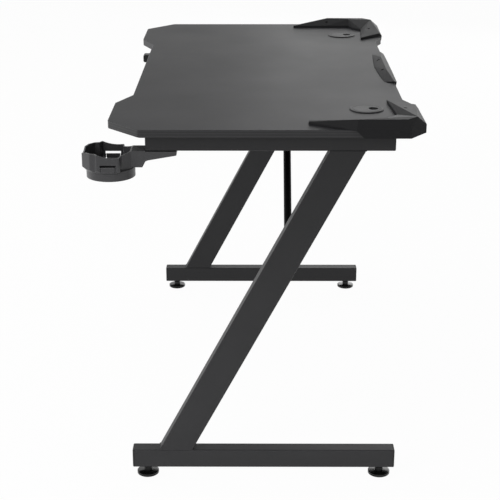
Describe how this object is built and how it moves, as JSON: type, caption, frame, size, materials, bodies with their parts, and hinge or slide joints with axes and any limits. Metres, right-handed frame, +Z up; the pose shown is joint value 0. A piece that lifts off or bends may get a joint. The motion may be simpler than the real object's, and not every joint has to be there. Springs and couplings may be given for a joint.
{
  "type": "gaming desk",
  "caption": "Gaming desk: a shaped board on Z-shaped steel side frames, with faceted corner trims, cable grommets, cup holder, headphone hook and levelling feet.",
  "frame": {"origin": "on the floor below the middle of the board, with the feet screwed in", "axes": "+X along the board to the user's right, +Y to the rear edge, +Z up"},
  "size_m": [1.1225, 0.6495, 0.761],
  "materials": {
    "board_laminate": "board with a satin black laminate",
    "edge_band": "satin black edge banding",
    "frame_paint": "black powder coat",
    "brace_paint": "black powder coat",
    "cap_plastic": "moulded black plastic",
    "foot_plastic": "glossy black plastic",
    "foot_steel": "black coated steel",
    "black_steel": "black oxide",
    "zinc_steel": "zinc plated",
    "trim_plastic": "moulded black plastic, satin",
    "grommet_plastic": "moulded black plastic",
    "holder_plastic": "moulded black plastic, fine grain",
    "hook_plastic": "moulded black plastic"
  },
  "bodies": {
    "desk": {"desktop": "board_laminate", "edge_band": "edge_band", "left_rail": "frame_paint", "right_rail": "frame_paint", "left_diagonal": "frame_paint", "right_diagonal": "frame_paint", "left_foot_tube": "frame_paint", "right_foot_tube": "frame_paint", "left_rail_caps": "cap_plastic", "right_rail_caps": "cap_plastic", "left_foot_caps": "cap_plastic", "right_foot_caps": "cap_plastic", "front_beam": "frame_paint", "rear_beam": "frame_paint", "front_beam_plates": "frame_paint", "rear_beam_plates": "frame_paint", "beam_bolts": "black_steel", "beam_nuts": "zinc_steel", "beam_screws": "black_steel", "rail_bolts": "black_steel", "board_inserts": "zinc_steel", "left_brace": "brace_paint", "right_brace": "brace_paint", "brace_bolts": "black_steel", "brace_nuts": "zinc_steel", "foot_nuts": "zinc_steel", "left_corner_trim": "trim_plastic", "right_corner_trim": "trim_plastic", "centre_trim": "trim_plastic", "trim_screws": "black_steel", "left_grommet": "grommet_plastic", "right_grommet": "grommet_plastic", "cup_holder": "holder_plastic", "cup_holder_screws": "black_steel", "headphone_hook": "hook_plastic", "hook_screws": "black_steel"},
    "front_left_foot": {"front_left_pad": "foot_plastic", "front_left_stud": "foot_steel"},
    "front_right_foot": {"front_right_pad": "foot_plastic", "front_right_stud": "foot_steel"},
    "rear_left_foot": {"rear_left_pad": "foot_plastic", "rear_left_stud": "foot_steel"},
    "rear_right_foot": {"rear_right_pad": "foot_plastic", "rear_right_stud": "foot_steel"},
    "left_cap": {"left_grommet_cap": "grommet_plastic"},
    "right_cap": {"right_grommet_cap": "grommet_plastic"}
  },
  "joints": [
    {"name": "front_left_foot_height", "type": "slide", "parent": "desk", "child": "front_left_foot", "axis": [0, 0, -1], "range_m": [0, 0.012]},
    {"name": "front_right_foot_height", "type": "slide", "parent": "desk", "child": "front_right_foot", "axis": [0, 0, -1], "range_m": [0, 0.012]},
    {"name": "rear_left_foot_height", "type": "slide", "parent": "desk", "child": "rear_left_foot", "axis": [0, 0, -1], "range_m": [0, 0.012]},
    {"name": "rear_right_foot_height", "type": "slide", "parent": "desk", "child": "rear_right_foot", "axis": [0, 0, -1], "range_m": [0, 0.012]},
    {"name": "left_cap_turn", "type": "hinge", "parent": "desk", "child": "left_cap", "pos_m": [-0.39, 0.202, 0.743], "axis": [0, 0, 1], "continuous": true},
    {"name": "right_cap_turn", "type": "hinge", "parent": "desk", "child": "right_cap", "pos_m": [0.39, 0.202, 0.743], "axis": [0, 0, 1], "continuous": true}
  ]
}
